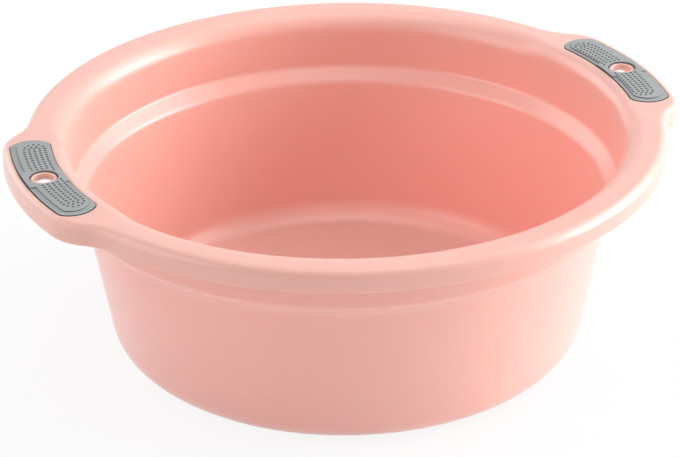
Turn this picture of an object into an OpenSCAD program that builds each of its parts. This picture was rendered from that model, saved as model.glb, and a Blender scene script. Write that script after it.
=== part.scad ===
// Round washing up bowl with two lugs, each with a hanging hole and a soft grip pad.
// Millimetres. The origin is the middle of the foot ring's underside, +Z is up and +X runs to the right lug.

/* [Bowl] */
// Height from the foot ring's underside to the flat top of the rim
bowl_h = 131.5; // [105:0.5:180]
// Wall thickness of the moulding
wall = 2.2; // [1.6:0.1:3]
// How far inside the round rim's radius the wall would meet the underside of the rim, outside
neck_in = 21.6; // [20:0.1:22.5]
// How much narrower the bowl is, in radius, at the bottom of the step than at the top of the wall
waist_in = 9.4; // [7.4:0.5:15.4]
// How much narrower again it is where the wall would meet the base if that corner were sharp
base_in = 15; // [9:1:34]
// Rounding of the corner between wall and base, outside
base_round = 18; // [8:1:24]

/* [Step] */
// Depth of the step's upper corner below the rim, outside
step_depth = 34.5; // [20:0.5:60]
// Height of the sloping face of the step
step_h = 7.3; // [5:0.1:12]
// How far the step stands out from the wall below it
step_w = 7.6; // [4:0.1:9]
// Rounding of the step's two corners, on their tighter side
step_round = 4; // [1:0.5:5]

/* [Rim] */
// Radius of the rim over its skirt, which is the widest part of the round rim
rim_r = 180; // [178:0.5:190]
// Height of the skirt that turns down round the rim
skirt_h = 12; // [8:0.5:20]
// Rounding from the flat of the rim into the mouth
mouth_round = 8; // [5:0.5:9]
// Rounding from the flat of the rim into the skirt
rim_round = 3.5; // [3:0.1:5]
// Rounding of the skirt's bottom edge
lip_round = 0.8; // [0.3:0.1:1]

/* [Lugs] */
// How far a lug reaches out beyond the round rim
lug_reach = 12; // [8:0.5:20]
// Half of the angle over which the lug's edge runs parallel to the rim
lug_half_angle = 13.5; // [11:0.5:20]
// Radius of the lug's rounded shoulders
shoulder_r = 29; // [20:1:40]
// Radius of the hollow curve from shoulder to rim
hollow_r = 42; // [20:1:60]

/* [Hanging holes] */
// How far inside the round rim's radius the middle of each hanging hole lies
hole_in = 3.7; // [2:0.1:6]
// Diameter of a hanging hole
hole_d = 11.2; // [8:0.1:12]
// Diameter of the collar round a hanging hole
collar_d = 14.4; // [13:0.1:16]
// Height of the collar above the flat of the rim
collar_rise = 0.3; // [0:0.1:0.8]

/* [Grip pads] */
// How far inside the round rim's radius a pad's middle line lies
pad_in = 3.8; // [3:0.1:5]
// Width of a pad
pad_w = 22; // [18:0.5:23]
// Half of the angle between the middles of a pad's two round ends
pad_half_angle = 11.8; // [10:0.1:12.5]
// Radius of a pad's round ends
pad_end_r = 13; // [12:0.5:15]
// Rounding of the corners where a pad's ends meet its sides
pad_corner_r = 4; // [2:0.5:6]
// Depth of the pocket that holds a pad
pocket_depth = 1.2; // [0.8:0.1:1.4]
// Gap all round between a pad and the side of its pocket
pocket_gap = 0.5; // [0.3:0.1:0.8]
// Gap between a pad and the collar
collar_gap = 0.7; // [0.4:0.1:1.2]
// How far a pad's border stands above the flat of the rim
border_rise = 0.3; // [0.1:0.1:0.8]
// How far a pad's raised part stands above its border
panel_rise = 0.7; // [0.3:0.1:1.2]
// Width of a pad's low border
border_w = 3; // [2:0.1:4]
// Half length of the middle of a pad, which is raised over its full width
bridge_half = 10; // [9:0.5:14]

/* [Grip dots] */
// Distance between dots, along a row and from row to row
dot_pitch = 2.85; // [2.4:0.05:3]
// Radius of a dot where it meets the pad
dot_r = 0.8; // [0.5:0.05:1]
// Height of a dot
dot_rise = 0.4; // [0.2:0.05:0.6]
// How far inside the round rim's radius the middle row of dots lies
dot_row_in = 5.6; // [4:0.1:6.5]
// Half of the angle over which the rows run, before they turn round the end
dot_half_angle = 11.6; // [9:0.1:12]
// Rows of dots on each side of the middle row
dot_rings = 2; // [1:1:2]
// Most dots in a row, counted from the end, without those that the collar leaves no room for
dot_columns = 11; // [6:1:12]

/* [Foot] */
// Height of the foot ring under the base
foot_h = 1.5; // [0.8:0.1:3]
// Width of the foot ring
foot_w = 4; // [3:0.5:8]
// How far the foot ring's outside lies inside the sharp corner of wall and base
foot_in = 22; // [20:1:44]

/* [Hidden] */
$fn = 96;

round_fn = 240;   // facets of the big circles about the bowl's middle
dot_fn = 16;      // facets of a dot
spill = 1;        // how far a cutter runs past what it cuts
round_step = 15;    // most degrees in a straight step of a section's rounding
shoulder_steps = 10; // straight steps over a shoulder, and over a hollow curve
floor_margin = 2.5; // how far the pocket's floor runs on outside the pocket
hollow_sink = 0.3;  // how far the lug's hollow curves run into the round rim

neck_r = rim_r - neck_in;         // outside radius of the wall at the underside of the rim
waist_r = neck_r - waist_in;      // outside radius at the bottom of the step
base_r = waist_r - base_in;       // outside radius where wall and base would meet sharply
foot_r = base_r - foot_in;        // outside radius of the foot ring
hole_place = rim_r - hole_in;     // from the bowl's middle to a hanging hole
pad_place = rim_r - pad_in;       // from the bowl's middle to a pad's middle line
dot_row_r = rim_r - dot_row_in;
base_z = foot_h;                  // underside of the base
step_z = bowl_h - step_depth;     // upper corner of the step, outside
skirt_z = bowl_h - skirt_h;       // bottom edge of the skirt
lug_in_r = neck_r + mouth_round - wall + 1; // where a lug begins, out of the way of the wall's rounding
pad_z = bowl_h - pocket_depth;           // floor of the pockets, where the pads sit
border_z = bowl_h + border_rise;
panel_z = border_z + panel_rise;
dot_ball_r = (dot_r ^ 2 + dot_rise ^ 2) / (2 * dot_rise); // ball whose cap is a dot
pad_hole_r = collar_d / 2 + collar_gap;

// Small helpers for directions and lines
function dir(a) = [cos(a), sin(a)];
function unit(v) = v / norm(v);
function left_of(v) = [-v[1], v[0]];
function turned(v, a) = [v[0] * cos(a) - v[1] * sin(a), v[0] * sin(a) + v[1] * cos(a)];
function cross2(a, b) = a[0] * b[1] - a[1] * b[0];
function meet(p, u, q, v) = p + u * cross2(q - p, v) / cross2(u, v);
function reversed(list) = [for (i = [len(list) - 1:-1:0]) list[i]];

// A line of corners moved sideways by t, to its left, with every corner kept sharp
function beside(path, t) = [
    for (i = [0:len(path) - 1])
        let (
            into = unit(path[max(i, 1)] - path[max(i, 1) - 1]),
            out = unit(path[min(i, len(path) - 2) + 1] - path[min(i, len(path) - 2)])
        )
        norm(into - out) < 0.0001
            ? path[i] + left_of(out) * t
            : meet(path[i] + left_of(into) * t, into, path[i] + left_of(out) * t, out)
];

// The part of a circle that bulges out past its chord from a to b
module bulge(centre, r, a, b) {
    away = unit((a + b) / 2 - centre);
    intersection() {
        translate(centre) circle(r, $fn = round_fn);
        polygon([a, a + away * r, b + away * r, b]);
    }
}

// A closed outline, corners anticlockwise, with each corner rounded to its radius in the second list.
// The roundings are drawn in straight steps, so that each outline is one clean polygon.
module rounded(corners, radii) {
    n = len(corners);
    polygon([
        for (i = [0:n - 1])
            let (
                before = unit(corners[(i + n - 1) % n] - corners[i]),
                after = unit(corners[(i + 1) % n] - corners[i]),
                half = acos(before * after) / 2,
                centre = corners[i] + unit(before + after) * radii[i] / sin(half),
                start = corners[i] + before * radii[i] / tan(half) - centre,
                side = cross2(after, before) > 0 ? 1 : -1,
                turn = 180 - 2 * half,
                steps = ceil(turn / round_step)
            )
            each radii[i] == 0
                ? [corners[i]]
                : [for (k = [0:steps]) centre + turned(start, side * turn * k / steps)]
    ]);
}

// Half section of the whole bowl from its middle to the skirt of the round rim, with no lug
module bowl_section() {
    outside = [
        [0, base_z],
        [base_r, base_z],
        [waist_r, step_z - step_h],
        [waist_r + step_w, step_z],
        [neck_r, bowl_h - wall],
        [rim_r - wall, bowl_h - wall],
        [rim_r - wall, skirt_z]
    ];
    outside_round = [
        0, base_round, step_round, step_round + wall, mouth_round - wall, rim_round - wall, lip_round
    ];
    inside_round = [0, base_round - wall, step_round + wall, step_round, mouth_round, rim_round, lip_round];
    rounded(
        concat(outside, reversed(beside(outside, wall))),
        concat(outside_round, reversed(inside_round))
    );
}

module foot_section() {
    translate([foot_r - foot_w, 0]) square([foot_w, foot_h + wall / 2]);
}

// The plan of a lug: a long edge about the bowl's middle, rounded shoulders and hollow curves that
// end a little inside the round rim
lug_r = rim_r + lug_reach;
shoulder_place = lug_r - shoulder_r;
hollow_place = rim_r - hollow_sink + hollow_r;
shoulder_turn = acos(
    (shoulder_place ^ 2 + hollow_place ^ 2 - (shoulder_r + hollow_r) ^ 2) / (2 * shoulder_place * hollow_place)
);
lug_end_angle = lug_half_angle + shoulder_turn; // where the hollows end, from the lug's middle
shoulder_c = shoulder_place * dir(lug_half_angle);
hollow_c = hollow_place * dir(lug_end_angle);
turn_dir = unit(hollow_c - shoulder_c);
turn_angle = atan2(turn_dir[1], turn_dir[0]);

// Corners along an arc, in as many straight steps as asked for
function arc_corners(centre, r, from, to, steps) = [
    for (i = [0:steps]) centre + r * dir(from + (to - from) * i / steps)
];

// Plan of the right lug as a wedge from the bowl's middle, moved in by inset
module lug_plan(inset) {
    shoulder = arc_corners(shoulder_c, shoulder_r - inset, lug_half_angle, turn_angle, shoulder_steps);
    hollow = arc_corners(hollow_c, hollow_r + inset, 180 + turn_angle, 180 + lug_end_angle, shoulder_steps);
    // the shoulder's first step is drawn out past the long edge, where the circle cuts it
    past_edge = shoulder[1] + (shoulder[0] - shoulder[1]) * shoulder_steps / 2;
    half = concat(
        [past_edge],
        [for (i = [1:shoulder_steps]) shoulder[i]],
        [for (i = [1:shoulder_steps]) hollow[i]]
    );
    flip = [for (p = half) [p[0], -p[1]]];
    intersection() {
        circle(lug_r - inset, $fn = round_fn);
        polygon(concat([[0, 0]], reversed(flip), [[lug_r + shoulder_r, 0]], half));
    }
}

// Wedge from the bowl's middle, by its half angle
module wedge(half) {
    far = 2 * lug_r;
    polygon([[0, 0], far * dir(-half), far * dir(half)]);
}

// The right lug before it is hollowed: its long edge is rounded like the rim's
module lug_block() {
    intersection() {
        rotate_extrude($fn = round_fn) rounded(
            [[lug_in_r, skirt_z], [lug_r, skirt_z], [lug_r, bowl_h], [lug_in_r, bowl_h]],
            [0, lip_round, rim_round, 0]
        );
        translate([0, 0, skirt_z - spill]) linear_extrude(skirt_h + 2 * spill) intersection() {
            lug_plan(0);
            wedge(lug_end_angle - 1);
        }
    }
}

// What is taken out under the right lug, the round rim's own skirt included
module lug_hollow() {
    translate([0, 0, skirt_z - spill]) linear_extrude(skirt_h + spill - wall) difference() {
        union() {
            lug_plan(wall);
            intersection() {
                circle(rim_r - hollow_sink - wall - 0.5, $fn = round_fn);
                wedge(lug_end_angle + 3);
            }
        }
        circle(lug_in_r - 0.7, $fn = round_fn);
    }
}

// Plan of a grip pad on the right lug, grown by grow on every side
module pad_plan(grow) {
    r_in = pad_place - pad_w / 2 - grow;
    r_out = pad_place + pad_w / 2 + grow;
    end_r = pad_end_r + grow;
    corner = pad_corner_r + grow;
    end_c = pad_place * dir(pad_half_angle);
    // the corner circles touch the side and the round end from inside
    outer_c = corner_centre(r_out - corner, end_r - corner);
    inner_c = corner_centre(r_in + corner, end_r - corner);
    outer_a = unit(outer_c) * r_out;
    outer_b = end_c + unit(outer_c - end_c) * end_r;
    inner_a = unit(inner_c) * r_in;
    inner_b = end_c + unit(inner_c - end_c) * end_r;
    half = [inner_a, inner_b, outer_b, outer_a];
    flip = [for (p = half) [p[0], -p[1]]];
    difference() {
        union() {
            polygon(concat(reversed(half), flip));
            bulge([0, 0], r_out, flip[3], outer_a);
            for (m = [0, 1]) mirror([0, m]) {
                bulge(end_c, end_r, outer_b, inner_b);
                bulge(outer_c, corner, outer_a, outer_b);
                bulge(inner_c, corner, inner_b, inner_a);
            }
        }
        bulge([0, 0], r_in, flip[0], inner_a);
    }
}

// Point at distance a from the bowl's middle and b from the middle of a pad's end, on the end's far side
function corner_centre(a, b) =
    let (turn = acos((a ^ 2 + pad_place ^ 2 - b ^ 2) / (2 * a * pad_place)))
    a * dir(pad_half_angle + turn);

// Places of the dots on one half of a pad: rows that join in half circles round the end
function dot_places() =
    let (
        turn = dot_pitch / dot_row_r * 180 / PI,
        end = dot_row_r * dir(dot_half_angle),
        rows = [
            for (ring = [-dot_rings:dot_rings])
                for (i = [0:dot_columns - 1]) (dot_row_r + ring * dot_pitch) * dir(dot_half_angle - i * turn)
        ],
        loops = [
            for (ring = [1:dot_rings])
                for (i = [1:3 * ring - 1]) end + ring * dot_pitch * dir(dot_half_angle + 60 * i / ring)
        ]
    )
    [
        for (p = concat(rows, loops))
            if (p[1] > dot_pitch / 2 && norm(p - [hole_place, 0]) > pad_hole_r + dot_r + 0.1) p
    ];

module grip_pad() {
    difference() {
        union() {
            translate([0, 0, pad_z]) linear_extrude(border_z - pad_z) pad_plan(0);
            translate([0, 0, pad_z]) linear_extrude(panel_z - pad_z) {
                pad_plan(-border_w);
                intersection() {
                    pad_plan(0);
                    translate([pad_place, 0]) square([2 * pad_w, 2 * bridge_half], center = true);
                }
            }
            for (m = [0, 1]) mirror([0, m, 0])
                for (p = dot_places())
                    translate([p[0], p[1], panel_z + dot_rise - dot_ball_r]) sphere(dot_ball_r, $fn = dot_fn);
        }
        translate([hole_place, 0, pad_z - spill])
            cylinder(h = panel_z - pad_z + 2 * spill, r = pad_hole_r);
    }
}

module both_sides() {
    for (side = [0, 180]) rotate(side) children();
}

module basin() {
    color("#f4b9ad")
    difference() {
        union() {
            difference() {
                union() {
                    rotate_extrude($fn = round_fn) {
                        bowl_section();
                        foot_section();
                    }
                    both_sides() lug_block();
                }
                both_sides() lug_hollow();
            }
            both_sides() {
                translate([0, 0, pad_z - wall]) linear_extrude(wall) pad_plan(pocket_gap + floor_margin);
                translate([hole_place, 0, pad_z]) cylinder(h = pocket_depth + collar_rise, d = collar_d);
            }
        }
        both_sides() difference() {
            translate([0, 0, pad_z]) linear_extrude(pocket_depth + spill) pad_plan(pocket_gap);
            translate([hole_place, 0, pad_z - spill]) cylinder(h = pocket_depth + 3 * spill, d = collar_d);
        }
        both_sides() translate([hole_place, 0, pad_z - wall - spill])
            cylinder(h = wall + pocket_depth + collar_rise + 2 * spill, d = hole_d);
    }
}

module grip_pad_right() {
    color("#9ba5a2") grip_pad();
}

module grip_pad_left() {
    color("#9ba5a2") rotate(180) grip_pad();
}

basin();
grip_pad_right();
grip_pad_left();
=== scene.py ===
import math

import bmesh
import bpy
from mathutils import Matrix, Vector


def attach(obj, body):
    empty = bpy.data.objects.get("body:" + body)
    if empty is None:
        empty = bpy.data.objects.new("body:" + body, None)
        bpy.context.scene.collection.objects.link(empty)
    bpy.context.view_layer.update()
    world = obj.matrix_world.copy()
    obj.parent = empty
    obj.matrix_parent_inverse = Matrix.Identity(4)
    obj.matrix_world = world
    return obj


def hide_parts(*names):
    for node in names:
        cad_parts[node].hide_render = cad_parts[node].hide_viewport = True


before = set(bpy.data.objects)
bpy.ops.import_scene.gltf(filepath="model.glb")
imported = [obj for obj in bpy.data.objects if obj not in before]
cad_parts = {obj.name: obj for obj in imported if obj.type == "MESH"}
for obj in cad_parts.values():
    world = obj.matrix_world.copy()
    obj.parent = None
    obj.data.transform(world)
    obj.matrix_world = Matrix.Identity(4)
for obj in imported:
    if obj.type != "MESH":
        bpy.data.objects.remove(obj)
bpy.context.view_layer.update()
mm = 0.001  # lengths are in millimetres until they become a vertex
print("frame loaded:", sorted(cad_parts))


# Lines and outlines, in a plane

middle = Vector((0, 0))


def polar(radius, degrees):
    a = math.radians(degrees)
    return Vector((radius * math.cos(a), radius * math.sin(a)))


def angleOf(v):
    return math.degrees(math.atan2(v.y, v.x))


def leftOf(v):
    return Vector((-v.y, v.x))


def cross(a, b):
    return a.x * b.y - a.y * b.x


def beside(path, t):
    # the same corners moved to the left by t, still sharp
    out = []
    for i, p in enumerate(path):
        into = (path[max(i, 1)] - path[max(i, 1) - 1]).normalized()
        on = (path[min(i, len(path) - 2) + 1] - path[min(i, len(path) - 2)]).normalized()
        if abs(cross(into, on)) < 1e-6:
            out.append(p + leftOf(on) * t)
        else:
            a, b = p + leftOf(into) * t, p + leftOf(on) * t
            out.append(a + into * (cross(b - a, on) / cross(into, on)))
    return out


def roundedLine(corners, radii, step=7.0):
    # an open line of corners, each rounded; step is the most degrees between two points
    out = []
    last = len(corners) - 1
    for i, p in enumerate(corners):
        if radii[i] <= 0 or i in (0, last):
            out.append(p.copy())
            continue
        before = (corners[i - 1] - p).normalized()
        after = (corners[i + 1] - p).normalized()
        half = math.acos(max(-1, min(1, before.dot(after)))) / 2
        centre = p + (before + after).normalized() * (radii[i] / math.sin(half))
        start = p + before * (radii[i] / math.tan(half)) - centre
        turn = math.pi - 2 * half
        if cross(before, after) > 0:
            turn = -turn
        count = max(2, math.ceil(abs(math.degrees(turn)) / step))
        for k in range(count + 1):
            a = turn * k / count
            out.append(centre + Vector((start.x * math.cos(a) - start.y * math.sin(a),
                                        start.x * math.sin(a) + start.y * math.cos(a))))
    return out


def withMiddles(points, longest):
    # extra points where two neighbours are far apart
    out = [points[0]]
    for p in points[1:]:
        q = out[-1]
        count = max(1, math.ceil((p - q).length / longest))
        for k in range(1, count + 1):
            out.append(q.lerp(p, k / count))
    return out


def shrunkLoop(points, t):
    # a closed anticlockwise loop moved in by t
    out = []
    n = len(points)
    least = 0.4  # keeps a very sharp corner from moving too far
    for i in range(n):
        into = (points[i] - points[i - 1]).normalized()
        on = (points[(i + 1) % n] - points[i]).normalized()
        both = leftOf(into) + leftOf(on)
        out.append(points[i] + both * (t / max(least, both.length_squared / 2)))
    return out


def mirrored(points):
    return [Vector((p.x, -p.y)) for p in reversed(points)]


def turnedTo(side, points):
    # side 1 is the right lug, side -1 the left one
    return points if side > 0 else [Vector((-p.x, -p.y)) for p in points]


def circlePoints(centre, radius, count):
    return [centre + polar(radius, 360 * i / count) for i in range(count)]


def quarterTurn(radius, steps=4):
    # (sideways, down) along a rounded edge, from its flat top to its upright side
    out = []
    for k in range(steps + 1):
        a = math.pi / 2 * k / steps
        out.append((radius * math.sin(a), radius * (1 - math.cos(a))))
    return out


# Rings of vertices and the faces between them

def addRing(bm, points, z=None):
    if z is not None:
        points = [Vector((p.x, p.y, z)) for p in points]
    return [bm.verts.new(p * mm) for p in points]


def bridge(bm, a, b):
    n = len(a)
    for i in range(n):
        j = (i + 1) % n
        bm.faces.new((a[i], a[j], b[j], b[i]))


def joinRings(bm, rings):
    for a, b in zip(rings, rings[1:]):
        bridge(bm, a, b)


def edgeRings(bm, levels, side):
    # rings for (outline, height) pairs with as many points each, joined one after the other
    rings = [addRing(bm, turnedTo(side, outline), z) for outline, z in levels]
    joinRings(bm, rings)
    return rings


def fillFlat(bm, loops, up=True):
    # one flat face area between an outer loop and the loops inside it
    edges = []
    for loop in loops:
        for i in range(len(loop)):
            a, b = loop[i], loop[(i + 1) % len(loop)]
            edges.append(bm.edges.get((a, b)) or bm.edges.new((a, b)))
    way = (0, 0, 1 if up else -1)
    made = bmesh.ops.triangle_fill(bm, edges=edges, use_beauty=True, normal=way)
    for f in [g for g in made["geom"] if isinstance(g, bmesh.types.BMFace)]:
        f.normal_update()
        if (f.normal.z > 0) != up:
            f.normal_flip()


def lathe(bm, profile, turns):
    # profile of (r, z) turned about Z; its first point is on the axis
    top = [bm.verts.new(Vector((0, 0, profile[0].y)) * mm)]
    rings = [addRing(bm, circlePoints(middle, p.x, turns), p.y) for p in profile[1:]]
    for i in range(turns):
        bm.faces.new((top[0], rings[0][i], rings[0][(i + 1) % turns]))
    joinRings(bm, rings)
    return rings[-1]


def finishMesh(bm, name, material, sharpest):
    # sharpest is the most degrees between two faces that are shaded as one surface
    bmesh.ops.recalc_face_normals(bm, faces=bm.faces)
    for f in bm.faces:
        f.smooth = True
    for e in bm.edges:
        e.smooth = not (len(e.link_faces) == 2 and e.calc_face_angle() > math.radians(sharpest))
    mesh = bpy.data.meshes.new(name)
    bm.to_mesh(mesh)
    bm.free()
    mesh.materials.append(material)
    obj = bpy.data.objects.new(name, mesh)
    bpy.context.scene.collection.objects.link(obj)
    weighted = obj.modifiers.new("evenNormals", "WEIGHTED_NORMAL")
    weighted.keep_sharp = True
    weighted.weight = 80
    return obj


# Shader nodes

def addNode(tree, kind, **settings):
    node = tree.nodes.new(kind)
    for key, value in settings.items():
        if key in node.inputs:
            node.inputs[key].default_value = value
        else:
            setattr(node, key, value)
    return node


def fillSockets(tree, sockets, values):
    # a number or colour is set, and anything else is linked
    for socket, value in zip(sockets, values):
        if isinstance(value, (int, float, tuple)):
            socket.default_value = value
        else:
            tree.links.new(value, socket)


def mathNode(tree, operation, a, b):
    node = addNode(tree, "ShaderNodeMath", operation=operation)
    fillSockets(tree, node.inputs, (a, b))
    return node.outputs[0]


def mixColour(tree, factor, a, b):
    node = addNode(tree, "ShaderNodeMix", data_type="RGBA")
    fillSockets(tree, (node.inputs[0], node.inputs[6], node.inputs[7]), (factor, a, b))
    return node.outputs[2]


def ramp(tree, value, low, high):
    # 0 below low, 1 above high
    node = addNode(tree, "ShaderNodeMapRange")
    node.inputs["From Min"].default_value = low
    node.inputs["From Max"].default_value = high
    tree.links.new(value, node.inputs["Value"])
    return node.outputs[0]


def makeGroup(name, inputs, outputs):
    group = bpy.data.node_groups.new(name, "ShaderNodeTree")
    for label, kind, value in inputs:
        kind = "NodeSocket" + kind
        socket = group.interface.new_socket(name=label, in_out="INPUT", socket_type=kind)
        if value is not None:
            socket.default_value = value
    for label, kind in outputs:
        kind = "NodeSocket" + kind
        group.interface.new_socket(name=label, in_out="OUTPUT", socket_type=kind)
    return group, group.nodes.new("NodeGroupInput"), group.nodes.new("NodeGroupOutput")


def useGroup(tree, group, place, **values):
    node = tree.nodes.new("ShaderNodeGroup")
    node.node_tree = group
    tree.links.new(place, node.inputs["Place"])
    for key, value in values.items():
        node.inputs[key].default_value = value
    return node


def makeDrift():
    # slow, cloudy change of colour over a moulded surface
    group, given, result = makeGroup(
        "colourDrift",
        [("Place", "Vector", None), ("Colour", "Color", (0.8, 0.8, 0.8, 1)),
         ("Other", "Color", (0.7, 0.7, 0.7, 1)), ("Scale", "Float", 8.0)],
        [("Colour", "Color")])
    cloud = addNode(group, "ShaderNodeTexNoise", Detail=3.0, Roughness=0.5)
    group.links.new(given.outputs["Place"], cloud.inputs["Vector"])
    group.links.new(given.outputs["Scale"], cloud.inputs["Scale"])
    spread = ramp(group, cloud.outputs["Fac"], 0.3, 0.7)
    mixed = mixColour(group, spread, given.outputs["Colour"], given.outputs["Other"])
    group.links.new(mixed, result.inputs["Colour"])
    return group


def makeGrain():
    # fine even grain of a mould's surface, with a second, softer waviness
    group, given, result = makeGroup(
        "mouldGrain",
        [("Place", "Vector", None), ("Fine", "Float", 1400.0), ("Soft", "Float", 60.0),
         ("Soft Share", "Float", 0.4)],
        [("Height", "Float"), ("Speckle", "Float")])
    fine = addNode(group, "ShaderNodeTexNoise", Detail=2.0, Roughness=0.6)
    soft = addNode(group, "ShaderNodeTexNoise", Detail=1.0, Roughness=0.4)
    for node, key in ((fine, "Fine"), (soft, "Soft")):
        group.links.new(given.outputs["Place"], node.inputs["Vector"])
        group.links.new(given.outputs[key], node.inputs["Scale"])
    share = mathNode(group, "MULTIPLY", soft.outputs["Fac"], given.outputs["Soft Share"])
    total = mathNode(group, "ADD", fine.outputs["Fac"], share)
    group.links.new(total, result.inputs["Height"])
    group.links.new(fine.outputs["Fac"], result.inputs["Speckle"])
    return group


def makeScuffs():
    # short fine scratches that only change the gloss
    group, given, result = makeGroup(
        "fineScuffs",
        [("Place", "Vector", None), ("Scale", "Float", 90.0), ("Amount", "Float", 0.5)],
        [("Mask", "Float")])
    stretch = addNode(group, "ShaderNodeMapping")
    stretch.inputs["Scale"].default_value = (1.0, 0.08, 0.5)
    stretch.inputs["Rotation"].default_value = (0.4, 0.2, 0.7)
    group.links.new(given.outputs["Place"], stretch.inputs["Vector"])
    lines = addNode(group, "ShaderNodeTexNoise", Detail=4.0, Roughness=0.7)
    group.links.new(stretch.outputs[0], lines.inputs["Vector"])
    group.links.new(given.outputs["Scale"], lines.inputs["Scale"])
    thin = ramp(group, lines.outputs["Fac"], 0.6, 0.72)
    mask = mathNode(group, "MULTIPLY", thin, given.outputs["Amount"])
    group.links.new(mask, result.inputs["Mask"])
    return group


driftGroup = makeDrift()
grainGroup = makeGrain()
scuffGroup = makeScuffs()


def mouldedMaterial(name, look):
    # what the plastic and the rubber share: drifting colour, grain and scuffs
    material = bpy.data.materials.new(name)
    material.use_nodes = True
    tree = material.node_tree
    shader = tree.nodes["Principled BSDF"]
    place = addNode(tree, "ShaderNodeTexCoord").outputs["Object"]
    drift = useGroup(tree, driftGroup, place, Colour=look["colour"], Other=look["other"],
                     Scale=look["driftScale"])
    grain = useGroup(tree, grainGroup, place, Fine=look["grainScale"])
    scuffs = useGroup(tree, scuffGroup, place, Amount=look["scuffs"])
    tree.links.new(drift.outputs["Colour"], shader.inputs["Base Color"])
    speckle = mathNode(tree, "MULTIPLY", grain.outputs["Speckle"], look["speckle"])
    rough = mathNode(tree, "ADD", speckle, look["gloss"] - look["speckle"] / 2)
    rough = mathNode(tree, "ADD", rough, scuffs.outputs["Mask"])
    tree.links.new(rough, shader.inputs["Roughness"])
    bump = addNode(tree, "ShaderNodeBump", Strength=look["bump"], Distance=look["grainDepth"])
    tree.links.new(grain.outputs["Height"], bump.inputs["Height"])
    tree.links.new(bump.outputs[0], shader.inputs["Normal"])
    shader.inputs["IOR"].default_value = look["ior"]
    return material, shader, place


# The bowl

bowl = {
    "height": 131.5,  # foot ring to the flat of the rim
    "wall": 2.2,
    # the wall's outside, from the base up, at its sharp corners
    "baseR": 134.0,
    "waistR": 149.0,
    "neckR": 158.4,
    "baseRound": 18.0,
    "stepDepth": 34.5,
    "stepHeight": 7.3,
    "stepWidth": 7.6,
    "stepRound": 4.0,
    "mouthRound": 12.0,
    "lugMouthRound": 8.0,  # tighter at the lugs, to leave room for the pads
    "mouthLead": 0.5,  # plain wall under the widest rounding
    # the underside
    "footOut": 112.0,
    "footIn": 108.0,
    "footHeight": 1.5,
    "footTaper": 0.4,  # how far each side leans in at the bottom
    "footSpread": 0.5,  # and out where it meets the base
    "footRound": 0.4,
    "footFillet": 0.5,
    "gateR": 4.0,  # dimple where the plastic was let into the mould
    "gateDepth": 0.5,
    "gateSlope": 1.2,
    "gateRound": 0.6,
    # the rim and its lugs
    "rimR": 179.9,
    "skirt": 12.0,
    "skirtFlare": 0.4,  # the skirt leans out this much on its way down
    "rimRound": 5.0,
    "lugRimRound": 3.5,  # tighter, like the mouth's
    "lipRound": 0.8,
    "lugReach": 12.0,
    "lugHalf": 13.5,  # degrees
    "lugFade": (16, 25),  # degrees from a lug's middle where its roundings become the rim's
    "shoulderR": 29.0,
    "hollowR": 42.0,
    # the pockets for the pads, with their hanging holes
    "pocketDepth": 1.2,
    "pocketGap": 0.5,
    "pocketRound": 0.45,
    "floorMargin": 2.0,  # the thick floor reaches this far past the pocket
    "floorLap": 0.4,  # and this far up into the rim's plate
    "floorBevel": 0.4,
    "holeAt": 176.3,
    "holeR": 5.6,
    "holeRound": 0.3,
    "collarR": 7.2,
    "collarRise": 0.3,
    "collarRound": 0.5,
    # fineness of the mesh
    "turns": 288,
    "longest": 6.0,  # most between two rings of the wall or base
    "holeTurns": 72,
    "rimSteps": (16, 16, 12, 56),  # over lug, shoulder, hollow and round rim
    "sharpest": 38,  # degrees
}
pinkPlastic = {
    "colour": (0.905, 0.497, 0.428, 1),
    "other": (0.89, 0.48, 0.41, 1),
    "driftScale": 7.0,
    "gloss": 0.36,  # roughness
    "speckle": 0.08,
    "grainScale": 1500.0,
    "grainDepth": 0.0004,  # metres
    "bump": 0.05,
    "scuffs": 0.05,
    "ior": 1.49,
    "skin": 0.6,  # the thin glossier skin of the moulding, as a coat
    "skinGloss": 0.3,
    "skinIor": 1.6,
    "milky": 0.45,  # how much light goes in and comes out again near by
    "milkyReach": (1.0, 0.35, 0.2),  # red light goes furthest
    "milkyDepth": 0.006,  # metres
}

topZ = bowl["height"]
wall = bowl["wall"]
baseZ = bowl["footHeight"]
skirtZ = topZ - bowl["skirt"]
pocketZ = topZ - bowl["pocketDepth"]
holeMiddle = Vector((bowl["holeAt"], 0))
flatReach = 20.0  # how far the rim's flat is drawn inwards or outwards, past every rounding


def makePinkPlastic():
    material, shader = mouldedMaterial("pinkPlastic", pinkPlastic)[:2]
    shader.inputs["Coat Weight"].default_value = pinkPlastic["skin"]
    shader.inputs["Coat Roughness"].default_value = pinkPlastic["skinGloss"]
    shader.inputs["Coat IOR"].default_value = pinkPlastic["skinIor"]
    shader.inputs["Subsurface Weight"].default_value = pinkPlastic["milky"]
    shader.inputs["Subsurface Radius"].default_value = pinkPlastic["milkyReach"]
    shader.inputs["Subsurface Scale"].default_value = pinkPlastic["milkyDepth"]
    return material


def lugShare(place):
    # 1 on a lug, fading to 0 on the round rim
    away = math.degrees(math.atan2(abs(place.y), abs(place.x)))
    near, far = bowl["lugFade"]
    t = max(0, min(1, (away - near) / (far - near)))
    return 1 - t * t * (3 - 2 * t)


def arcStations(centre, radius, start, end, count, out=1):
    stations = []
    for i in range(1, count + 1):
        a = start + (end - start) * i / count
        stations.append((centre + polar(radius, a), polar(out, a)))
    return stations


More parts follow.
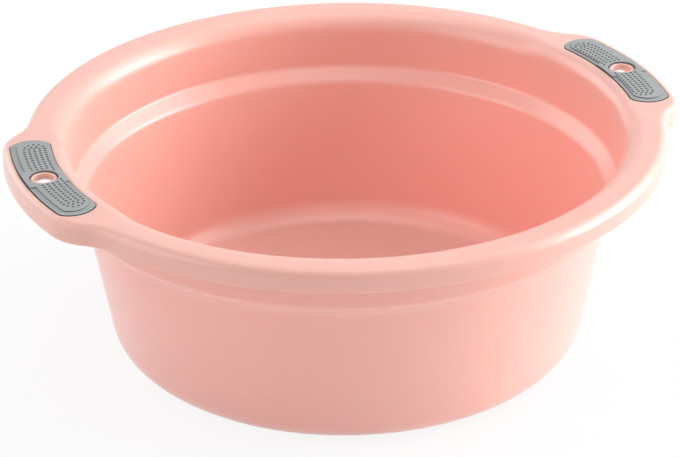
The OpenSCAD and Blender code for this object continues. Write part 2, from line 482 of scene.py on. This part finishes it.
def rimStations():
    # plan of the rim: places on its edge, each with the direction that points out of the rim
    lugR = bowl["rimR"] + bowl["lugReach"]
    a = lugR - bowl["shoulderR"]
    b = bowl["rimR"] + bowl["hollowR"]
    c = bowl["shoulderR"] + bowl["hollowR"]
    end = bowl["lugHalf"] + math.degrees(math.acos((a * a + b * b - c * c) / (2 * a * b)))
    shoulder, hollow = polar(a, bowl["lugHalf"]), polar(b, end)
    turn = angleOf(hollow - shoulder)
    n = bowl["rimSteps"]
    lugTip = (Vector((lugR, 0)), Vector((1, 0)))
    quarter = arcStations(middle, lugR, 0, bowl["lugHalf"], n[0])
    quarter += arcStations(shoulder, bowl["shoulderR"], bowl["lugHalf"], turn, n[1])
    quarter += arcStations(hollow, bowl["hollowR"], 180 + turn, 180 + end, n[2], -1)
    quarter += arcStations(middle, bowl["rimR"], end, 90, n[3])

    def flipped(stations, x, y):
        return [(Vector((p.x * x, p.y * y)), Vector((d.x * x, d.y * y))) for p, d in stations]

    loop = quarter + flipped(quarter[-2::-1], -1, 1) + flipped([lugTip], -1, 1)
    return loop + flipped(quarter, -1, -1) + flipped(quarter[-2::-1], 1, -1) + [lugTip]


def rimSection(edgeRound):
    # points as (way out from the rim's edge, height), from the flat round the skirt to below
    flare = Vector((-bowl["skirtFlare"], topZ))
    outside = [Vector((0, skirtZ)), flare, Vector((-flatReach, topZ))]
    inside = beside(outside, wall)
    slope = inside[0] - inside[1]
    foot = inside[1] + slope * ((skirtZ - inside[1].y) / slope.y)
    corners = [outside[2], outside[1], outside[0], foot, inside[1], inside[2]]
    lip = bowl["lipRound"]
    radii = [0, edgeRound, lip, lip, edgeRound - wall, 0]
    return roundedLine(corners, radii, step=10)[1:-1]


def buildRim(bm):
    stations = rimStations()
    rings = []
    for plain, tighter in zip(rimSection(bowl["rimRound"]), rimSection(bowl["lugRimRound"])):
        points = []
        for place, out in stations:
            p = plain.lerp(tighter, lugShare(place))
            across = place + out * p.x
            points.append(Vector((across.x, across.y, p.y)))
        rings.append(addRing(bm, points))
    joinRings(bm, rings)
    return rings[0], rings[-1]


def startOfMouth(profile):
    # a point on the wall, a little under the mouth's widest rounding
    step, corner = profile[-3], profile[-2]
    return corner + (step - corner).normalized() * (bowl["mouthRound"] + bowl["mouthLead"])


def mouthEdge(bm, wallTop, corners, less):
    # rounding from the wall to the flat of the rim, with less taken off its radius
    columns = []
    for i in range(bowl["turns"]):
        around = 360 * i / bowl["turns"]
        share = lugShare(polar(1, around))
        radius = bowl["mouthRound"] * (1 - share) + bowl["lugMouthRound"] * share
        section = roundedLine(corners, [0, radius - less, 0])[1:-1]
        columns.append([Vector((*polar(p.x, around), p.y)) for p in section])
    ring = wallTop
    for points in zip(*columns):
        above = addRing(bm, points)
        bridge(bm, ring, above)
        ring = above
    return ring


def wallProfile():
    # corners of the wall's outside as (r, z), from the axis to the rim's underside
    stepZ = topZ - bowl["stepDepth"]
    return [
        Vector((0, baseZ)),
        Vector((bowl["baseR"], baseZ)),
        Vector((bowl["waistR"], stepZ - bowl["stepHeight"])),
        Vector((bowl["waistR"] + bowl["stepWidth"], stepZ)),
        Vector((bowl["neckR"], topZ - wall)),
        Vector((bowl["neckR"] + flatReach, topZ - wall)),
    ]


def buildInside(bm, outside):
    inside = beside(outside, wall)
    start = startOfMouth(inside)
    step = bowl["stepRound"]
    radii = [0, bowl["baseRound"] - wall, step + wall, step, 0]
    profile = roundedLine(inside[:-2] + [start], radii)
    wallTop = lathe(bm, withMiddles(profile, bowl["longest"]), bowl["turns"])
    return mouthEdge(bm, wallTop, [start] + inside[-2:], 0)


def buildOutside(bm, outside):
    gateZ = baseZ + bowl["gateDepth"]
    taper, spread = bowl["footTaper"], bowl["footSpread"]
    foot = [
        Vector((0, gateZ)),
        Vector((bowl["gateR"], gateZ)),
        Vector((bowl["gateR"] + bowl["gateSlope"], baseZ)),
        Vector((bowl["footIn"] - spread, baseZ)),
        Vector((bowl["footIn"] + taper, 0)),
        Vector((bowl["footOut"] - taper, 0)),
        Vector((bowl["footOut"] + spread, baseZ)),
    ]
    gate, low, high = bowl["gateRound"], bowl["footRound"], bowl["footFillet"]
    step = bowl["stepRound"]
    radii = [0, gate, gate, high, low, low, high, bowl["baseRound"], step, step + wall, 0]
    start = startOfMouth(outside)
    profile = roundedLine(foot + outside[1:-2] + [start], radii)
    wallTop = lathe(bm, withMiddles(profile, bowl["longest"]), bowl["turns"])
    return mouthEdge(bm, wallTop, [start] + outside[-2:], wall)


def collarLevels():
    # (radius, height) from the pocket's floor up over the collar and down through the hole
    radius, top = bowl["collarR"] - bowl["collarRound"], topZ + bowl["collarRise"]
    outer, inner = quarterTurn(bowl["collarRound"]), quarterTurn(bowl["holeRound"])
    levels = [(bowl["collarR"], pocketZ)]
    levels += [(radius + across, top - down) for across, down in reversed(outer)]
    radius = bowl["holeR"] + bowl["holeRound"]
    levels += [(radius - across, top - down) for across, down in inner]
    return levels + [(bowl["holeR"], pocketZ - wall)]


def buildPocket(bm, side):
    # returns its edge in the top flat and its hole in the underside
    gap, edge = bowl["pocketGap"], bowl["pocketRound"]
    soft = quarterTurn(edge)
    levels = [(grownOutline(gap + edge - across), topZ - down) for across, down in soft]
    levels.append((grownOutline(gap), pocketZ))
    pocketRings = edgeRings(bm, levels, side)

    turns = bowl["holeTurns"]
    levels = [(circlePoints(holeMiddle, radius, turns), z) for radius, z in collarLevels()]
    collar = edgeRings(bm, levels, side)
    fillFlat(bm, [pocketRings[-1], collar[0]])

    # thick floor under the pocket, whose top edge is hidden inside the rim's plate
    bevel = bowl["floorBevel"]
    outline = grownOutline(gap + bowl["floorMargin"])
    shrunk = grownOutline(gap + bowl["floorMargin"] - bevel)
    floorZ = pocketZ - wall
    lapZ = topZ - wall + bowl["floorLap"]
    levels = [(outline, lapZ), (outline, floorZ + bevel), (shrunk, floorZ)]
    slab = edgeRings(bm, levels, side)
    fillFlat(bm, [slab[-1], collar[-1]], up=False)
    bore = turnedTo(side, circlePoints(holeMiddle, bowl["holeR"], turns))
    return pocketRings[0], addRing(bm, bore, topZ - wall)


def buildBowl(material):
    bm = bmesh.new()
    outside = wallProfile()
    mouth = buildInside(bm, outside)
    neck = buildOutside(bm, outside)
    rimTop, rimUnder = buildRim(bm)
    topLoops, underLoops = [rimTop, mouth], [rimUnder, neck]
    for side in (1, -1):
        edge, bore = buildPocket(bm, side)
        topLoops.append(edge)
        underLoops.append(bore)
    fillFlat(bm, topLoops)
    fillFlat(bm, underLoops, up=False)
    return finishMesh(bm, "bowl_shell", material, bowl["sharpest"])


# The soft pads

pad = {
    # outline, which the pockets follow
    "middleR": 176.2,
    "width": 22.0,
    "halfAngle": 11.8,
    "endR": 13.0,
    "cornerR": 6.0,
    # low border, and the raised part inside it
    "borderRise": 0.3,
    "panelRise": 0.7,
    "borderOut": 3.3,
    "borderIn": 2.4,
    "borderEnd": 3.6,
    "panelCornerR": 2.2,
    "panelOver": 0.03,  # the raised part passes the border by this where it is full width
    "panelSink": 0.05,  # and goes this deep into it
    "bridgeHalf": 10.0,  # half the length that is full width
    "edgeRound": 0.35,
    "holeR": 7.9,
    "holeSpare": 0.2,
    # dots
    "dotPitch": 2.85,
    "dotRow": 174.4,
    "dotHalf": 11.6,  # degrees
    "dotRings": 2,
    "dotColumns": 11,
    "dotR": 0.9,
    "dotRise": 0.38,
    "dotTurns": 14,
    "dotClear": 0.1,  # least gap between a dot and the hole
    "dotFoot": 1.38,  # the thin disc round each dot
    "dotFootRise": 0.02,
    "dotFootBevel": 0.1,
    # fineness of the mesh
    "dotShares": (1.0, 0.8, 0.5, 0.22),  # rings of a dot, as shares of its radius
    "outlineSteps": (40, 10, 18, 10, 36),  # over outer edge, corner, end, corner, inner edge
    "bridgeSteps": 8,
    "sharpest": 50,  # degrees
}
greyRubber = {
    "colour": (0.36, 0.375, 0.375, 1),
    "other": (0.325, 0.34, 0.34, 1),
    # painted shade: near black on the pad's side down in the gap round it
    "gapShade": (0.035, 0.035, 0.035, 1),  # the gap round the pad
    # painted shade on the wall of the step up to the raised part
    "step": (0.16, 0.17, 0.17, 1),  # the step up to the raised part
    "between": (0.36, 0.375, 0.375, 1),  # the thin discs round the dots
    # painted shade on the raised dots
    "dots": (0.085, 0.09, 0.09, 1),
    "driftScale": 40.0,
    "gloss": 0.62,
    "speckle": 0.08,
    "grainScale": 2600.0,
    "grainDepth": 0.0003,
    "bump": 0.25,
    "scuffs": 0.08,
    "ior": 1.45,
}

borderZ = topZ + pad["borderRise"]
panelZ = borderZ + pad["panelRise"]


def makeGreyRubber():
    # painted shade by its height: near black in the gap, darker on the step and on the dots, the
    # rubber's own grey elsewhere
    material, shader, place = mouldedMaterial("greyRubber", greyRubber)
    tree = material.node_tree
    drifting = shader.inputs["Base Color"].links[0].from_socket
    height = addNode(tree, "ShaderNodeSeparateXYZ")
    tree.links.new(place, height.inputs[0])
    dotZ = panelZ + pad["dotFootRise"]
    levels = [  # from and to, in millimetres, and the tint that is reached there
        # painted shade: near black in the gap, fading to the rubber's own colour just under the
        # border
        (borderZ - 0.3, borderZ - 0.12, drifting),
        # painted shade: darker on the step's wall, back to the rubber's own colour under the
        # panel's top
        (borderZ + 0.02, borderZ + 0.14, greyRubber["step"]),
        (panelZ - 0.22, panelZ - 0.06, drifting),
        (panelZ + 0.004, panelZ + 0.012, greyRubber["between"]),
        # painted shade: darker dots above their thin discs
        (dotZ + 0.02, dotZ + 0.09, greyRubber["dots"]),
    ]
    shadeTinted = greyRubber["gapShade"]
    for low, high, tint in levels:
        share = ramp(tree, height.outputs["Z"], low * mm, high * mm)
        shadeTinted = mixColour(tree, share, shadeTinted, tint)
    tree.links.new(shadeTinted, shader.inputs["Base Color"])
    return material


def padOutline(inR, outR, endR, cornerR):
    # on the right lug; always the same number of points, so that any two can be joined
    mid, half = pad["middleR"], pad["halfAngle"]
    end = polar(mid, half)

    def cornerCentre(a, b):
        turn = math.degrees(math.acos((a * a + mid * mid - b * b) / (2 * a * mid)))
        return polar(a, half + turn)

    outer = cornerCentre(outR - cornerR, endR - cornerR)
    inner = cornerCentre(inR + cornerR, endR - cornerR)
    outerAt, innerAt = angleOf(outer), angleOf(inner)
    endFrom, endTo = angleOf(outer - end), angleOf(inner - end)
    upper = []

    def arc(centre, radius, start, stop, count):
        for k in range(count):
            upper.append(centre + polar(radius, start + (stop - start) * k / count))

    n = pad["outlineSteps"]
    arc(middle, outR, 0, outerAt, n[0])
    arc(outer, cornerR, outerAt, endFrom, n[1])
    arc(end, endR, endFrom, endTo, n[2])
    arc(inner, cornerR, endTo, innerAt + 180, n[3])
    arc(middle, inR, innerAt, 0, n[4])
    upper.append(polar(inR, 0))
    return upper + mirrored(upper[1:-1])


def grownOutline(grow):
    inR = pad["middleR"] - pad["width"] / 2 - grow
    outR = pad["middleR"] + pad["width"] / 2 + grow
    return padOutline(inR, outR, pad["endR"] + grow, pad["cornerR"] + grow)


def raisedOutline():
    # full width in the middle, set in from the border elsewhere
    fullIn = pad["middleR"] - pad["width"] / 2 - pad["panelOver"]
    fullOut = pad["middleR"] + pad["width"] / 2 + pad["panelOver"]
    panelIn, panelOut = fullIn + pad["borderIn"], fullOut - pad["borderOut"]
    whole = padOutline(panelIn, panelOut, pad["endR"] - pad["borderEnd"], pad["panelCornerR"])
    reach, count = pad["bridgeHalf"], pad["bridgeSteps"]
    steps = [reach * k / count for k in range(count + 1)]

    def onArc(radius, y):
        return Vector((math.sqrt(radius ** 2 - y ** 2), y))

    upper = [onArc(fullOut, y) for y in steps]
    upper.append(onArc(panelOut, reach))
    upper += [p for p in whole if p.y > reach + 0.4]  # a little clear of the corner before
    upper.append(onArc(panelIn, reach))
    upper += [onArc(fullIn, y) for y in reversed(steps)]
    return upper + mirrored(upper[1:-1])


def dotPlaces():
    # rows along the pad, closed by half hexagons round its ends
    pitch, row, half = pad["dotPitch"], pad["dotRow"], pad["dotHalf"]
    turn = math.degrees(pitch / row)
    places = []
    for ring in range(-pad["dotRings"], pad["dotRings"] + 1):
        for i in range(pad["dotColumns"]):
            places.append(polar(row + ring * pitch, half - i * turn))
    for ring in range(1, pad["dotRings"] + 1):
        for i in range(1, 3 * ring):
            places.append(polar(row, half) + polar(ring * pitch, half + 60 * i / ring))
    clear = pad["holeR"] + pad["dotR"] + pad["dotClear"]
    kept = [p for p in places if p.y > pitch / 2 and (p - holeMiddle).length > clear]
    return kept + [Vector((p.x, -p.y)) for p in kept]


def addDot(bm, place):
    r, rise = pad["dotR"], pad["dotRise"]
    ball = (r * r + rise * rise) / (2 * rise)
    foot, footR = pad["dotFootRise"], pad["dotFoot"]
    levels = [(footR, panelZ - foot), (footR - pad["dotFootBevel"], panelZ + foot)]
    for share in pad["dotShares"]:
        across = r * share
        up = math.sqrt(max(ball ** 2 - across ** 2, 0)) - (ball - rise)
        levels.append((across, panelZ + foot + up))
    rings = [addRing(bm, circlePoints(place, radius, pad["dotTurns"]), z) for radius, z in levels]
    joinRings(bm, rings)
    top = bm.verts.new(Vector((place.x, place.y, panelZ + foot + rise)) * mm)
    last = rings[-1]
    for i in range(len(last)):
        bm.faces.new((last[i], last[(i + 1) % len(last)], top))


def buildPad(name, side, material):
    bm = bmesh.new()
    edge, turns = pad["edgeRound"], bowl["holeTurns"]
    soft = quarterTurn(edge)

    levels = [(grownOutline(across - edge), borderZ - down) for across, down in soft]
    plate = edgeRings(bm, levels + [(grownOutline(0), pocketZ)], side)

    raised = raisedOutline()
    levels = [(shrunkLoop(raised, edge - across), panelZ - down) for across, down in soft]
    panel = edgeRings(bm, levels + [(raised, borderZ - pad["panelSink"])], side)

    levels = [(pad["holeR"] + edge - across, panelZ - down) for across, down in soft]
    levels.append((pad["holeR"], pocketZ))
    levels = [(circlePoints(holeMiddle, radius, turns), z) for radius, z in levels]
    holeRings = edgeRings(bm, levels, side)
    wider = circlePoints(holeMiddle, pad["holeR"] + pad["holeSpare"], turns)
    borderHole = edgeRings(bm, [(wider, borderZ)], side)[0]

    fillFlat(bm, [plate[0], borderHole])
    fillFlat(bm, [panel[0], holeRings[0]])
    fillFlat(bm, [plate[-1], holeRings[-1]], up=False)
    for p in dotPlaces():
        addDot(bm, p * side)
    return finishMesh(bm, name, material, pad["sharpest"])


pinkMaterial = makePinkPlastic()
greyMaterial = makeGreyRubber()
print("materials made")

bowlShell = buildBowl(pinkMaterial)
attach(bowlShell, "root")
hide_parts("basin")
print("bowl built:", len(bowlShell.data.polygons), "faces")

padNames = (("soft_pad_right", "grip_pad_right", 1), ("soft_pad_left", "grip_pad_left", -1))
for padName, node, side in padNames:
    softPad = buildPad(padName, side, greyMaterial)
    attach(softPad, "root")
    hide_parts(node)
    print("pad built:", padName, len(softPad.data.polygons), "faces")


# Floor, world and lamps, in metres

studio = {
    "floorSize": 12.0,
    "floorColour": (0.92, 0.92, 0.92, 1),
    "floorGloss": 0.9,  # roughness
    "floorShine": 0.1,
    "floorWhite": 0.87,  # share of plain white that the camera sees on the floor
    "worldLight": 0.31,
    "worldColour": (0.98, 1.0, 1.02, 1),
    "lampReach": 2.2,  # from the bowl's middle to each lamp
    "lampAim": 0.1,  # height of that middle over the floor
    "lampSize": 1.8,
    "lamps": [  # name, watts, degrees round from the right lug, degrees up
        ("rightLamp", 20.0, 0, 35),
        ("lowRightLamp", 54.0, -20, 12),
        ("leftLamp", 12.0, 180, 25),
        ("backLamp", 13.0, 120, 22),
        ("overheadLamp", 10.5, 67, 85),
        ("frontLamp", 3.2, -113, 58),
    ],
}


def seenDirectly(tree):
    # 1 for what the camera, a mirror or clear glass looks at
    path = addNode(tree, "ShaderNodeLightPath")
    seen = mathNode(tree, "MAXIMUM", path.outputs["Is Camera Ray"], path.outputs["Is Glossy Ray"])
    return mathNode(tree, "MAXIMUM", seen, path.outputs["Is Transmission Ray"])


def mixShaders(tree, share, first, second, result):
    mix = addNode(tree, "ShaderNodeMixShader")
    for socket, value in zip(mix.inputs, (share, first.outputs[0], second.outputs[0])):
        tree.links.new(value, socket)
    tree.links.new(mix.outputs[0], tree.nodes[result].inputs["Surface"])


def buildFloor():
    half = studio["floorSize"] / 2
    corners = [(-half, -half, 0), (half, -half, 0), (half, half, 0), (-half, half, 0)]
    mesh = bpy.data.meshes.new("studio_floor")
    mesh.from_pydata(corners, [], [(0, 1, 2, 3)])
    floor = bpy.data.objects.new("studio_floor", mesh)
    bpy.context.scene.collection.objects.link(floor)
    material = bpy.data.materials.new("studioFloor")
    material.use_nodes = True
    tree = material.node_tree
    shader = tree.nodes["Principled BSDF"]
    shader.inputs["Base Color"].default_value = studio["floorColour"]
    shader.inputs["Roughness"].default_value = studio["floorGloss"]
    shader.inputs["Specular IOR Level"].default_value = studio["floorShine"]
    white = addNode(tree, "ShaderNodeEmission", Strength=1.0)
    share = mathNode(tree, "MULTIPLY", seenDirectly(tree), studio["floorWhite"])
    mixShaders(tree, share, shader, white, "Material Output")
    mesh.materials.append(material)


def buildWorld():
    world = bpy.data.worlds.new("studioWorld")
    bpy.context.scene.world = world
    world.use_nodes = True
    tree = world.node_tree
    soft = tree.nodes["Background"]
    soft.inputs["Color"].default_value = studio["worldColour"]
    soft.inputs["Strength"].default_value = studio["worldLight"]
    white = addNode(tree, "ShaderNodeBackground", Strength=1.0)
    mixShaders(tree, seenDirectly(tree), soft, white, "World Output")


def softLamp(name, power, around, up):
    lamp = bpy.data.lights.new(name, "AREA")
    lamp.energy = power
    lamp.shape = "DISK"
    lamp.size = studio["lampSize"]
    flat = polar(math.cos(math.radians(up)), around)
    way = Vector((flat.x, flat.y, math.sin(math.radians(up))))
    obj = bpy.data.objects.new(name, lamp)
    obj.location = way * studio["lampReach"] + Vector((0, 0, studio["lampAim"]))
    obj.rotation_euler = way.to_track_quat("Z", "Y").to_euler()
    bpy.context.scene.collection.objects.link(obj)


buildFloor()
buildWorld()
for lampSettings in studio["lamps"]:
    softLamp(*lampSettings)

photoCamera = {
    "lens": 131.55,
    "sensor": 36,
    "nearest": 0.05,
    "place": (-0.4953, -1.1669, 0.7179),
    "turn": -22.83,  # degrees about Z
    "pitch": 27.3,  # degrees down from level
    "roll": -0.732,
}


def buildCamera():
    data = bpy.data.cameras.new("photoCamera")
    data.lens = photoCamera["lens"]
    data.sensor_width = photoCamera["sensor"]
    data.clip_start = photoCamera["nearest"]
    obj = bpy.data.objects.new("photoCamera", data)
    turn = Matrix.Rotation(math.radians(photoCamera["turn"]), 4, "Z")
    tilt = Matrix.Rotation(math.radians(90 - photoCamera["pitch"]), 4, "X")
    roll = Matrix.Rotation(math.radians(photoCamera["roll"]), 4, "Z")
    obj.matrix_world = Matrix.Translation(photoCamera["place"]) @ turn @ tilt @ roll
    bpy.context.scene.collection.objects.link(obj)
    bpy.context.scene.camera = obj


buildCamera()
bpy.context.scene.view_settings.view_transform = "Standard"
print("studio and camera ready")
